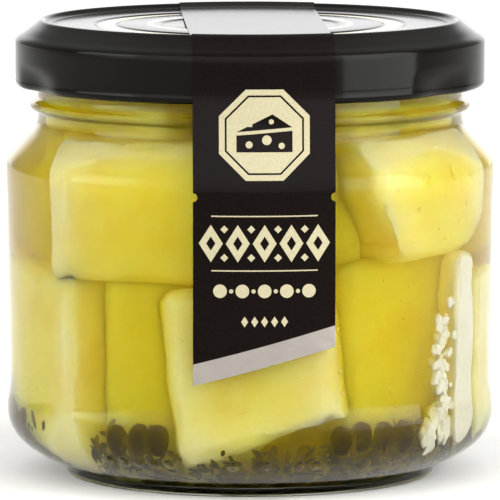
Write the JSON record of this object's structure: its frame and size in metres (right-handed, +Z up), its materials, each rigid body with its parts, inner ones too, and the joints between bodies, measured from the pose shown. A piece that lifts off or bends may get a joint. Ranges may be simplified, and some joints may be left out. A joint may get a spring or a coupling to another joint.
{
  "type": "jar of marinated cheese",
  "caption": "Squat round glass jar with a black twist-off lid and a paper strip over it, filled with cheese pieces in oil over peppercorns.",
  "frame": {"origin": "middle of the foot ring, on the jar's axis", "axes": "+Z up along the jar's axis to the lid, -Y towards the front of the label"},
  "size_m": [0.0882, 0.0894, 0.0829],
  "materials": {
    "glass": "clear moulded flint glass",
    "lid_lacquer": "gloss black lacquer on tinplate",
    "label_paper": "satin coated paper with a foil edge",
    "cheese": "moist white cheese in yellow oil",
    "peppercorn": "wrinkled black peppercorns and herb"
  },
  "bodies": {
    "root": {"jar": "glass", "lid": "lid_lacquer", "label": "label_paper", "cheese": "cheese", "peppercorns": "peppercorn"}
  },
  "joints": []
}
